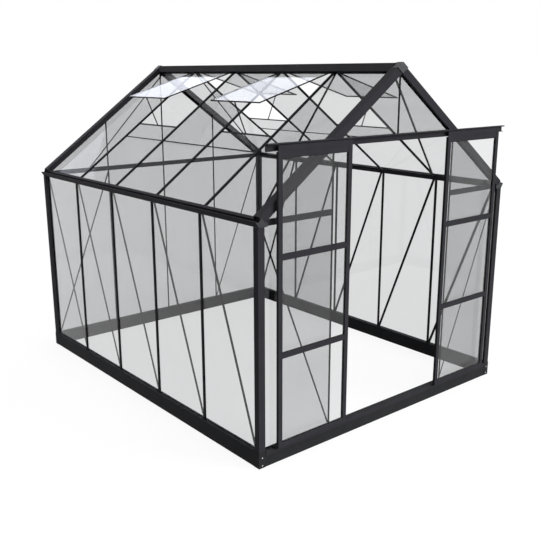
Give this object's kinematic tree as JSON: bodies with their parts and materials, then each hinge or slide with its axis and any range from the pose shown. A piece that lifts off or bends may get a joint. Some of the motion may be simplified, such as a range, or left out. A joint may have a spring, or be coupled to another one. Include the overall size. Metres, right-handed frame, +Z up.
{
  "type": "glass greenhouse",
  "caption": "Free-standing gable-roofed greenhouse of clear panes in a dark aluminium frame, with propped roof vents and a pair of sliding doors in one gable.",
  "frame": {"origin": "on the ground, under the middle of the whole outline", "axes": "+Z up, the ridge runs along Y, the gable with the doors faces -Y, +X to the right of someone facing the doors"},
  "size_m": [2.592, 3.189, 2.6233],
  "materials": {
    "frame_aluminium": "fine matt anthracite powder coat",
    "base_steel": "anthracite powder coat on galvanised steel",
    "black_plastic": "moulded, weatherproof",
    "glass": "clear horticultural glass"
  },
  "bodies": {
    "house": {"base_left_rail": "base_steel", "base_right_rail": "base_steel", "base_front_rail": "base_steel", "base_back_rail": "base_steel", "base_corner_plates": "base_steel", "corner_posts": "frame_aluminium", "left_gutter": "frame_aluminium", "right_gutter": "frame_aluminium", "gutter_end_caps": "black_plastic", "front_gable_rafters": "frame_aluminium", "back_gable_rafters": "frame_aluminium", "ridge_beam": "frame_aluminium", "ridge_end_caps": "black_plastic", "left_wall_bars": "frame_aluminium", "right_wall_bars": "frame_aluminium", "left_roof_bars": "frame_aluminium", "right_roof_bars": "frame_aluminium", "back_eave_rail": "frame_aluminium", "back_gable_bars": "frame_aluminium", "door_jambs": "frame_aluminium", "front_eave_rails": "frame_aluminium", "door_lintel": "frame_aluminium", "front_centre_bar": "frame_aluminium", "left_wall_braces": "base_steel", "right_wall_braces": "base_steel", "back_wall_braces": "base_steel", "front_wall_braces": "base_steel", "roof_braces": "base_steel", "roof_purlins": "base_steel", "vent_sills": "frame_aluminium", "vent_frames": "frame_aluminium", "vent_panes": "glass", "vent_stays": "base_steel", "left_wall_glass": "glass", "right_wall_glass": "glass", "left_roof_glass": "glass", "right_roof_glass": "glass", "back_gable_glass": "glass", "front_gable_glass": "glass", "door_track": "frame_aluminium", "door_guide": "frame_aluminium", "door_stops": "black_plastic"},
    "left_door": {"left_door_frame": "frame_aluminium", "left_door_header": "frame_aluminium", "left_door_glass": "glass", "left_door_rollers": "black_plastic"},
    "right_door": {"right_door_frame": "frame_aluminium", "right_door_header": "frame_aluminium", "right_door_glass": "glass", "right_door_rollers": "black_plastic"}
  },
  "joints": [
    {"name": "left_door_slide", "type": "slide", "parent": "house", "child": "left_door", "axis": [1, 0, 0], "range_m": [0, 0.491]},
    {"name": "right_door_slide", "type": "slide", "parent": "house", "child": "right_door", "axis": [-1, 0, 0], "range_m": [0, 0.505]}
  ]
}
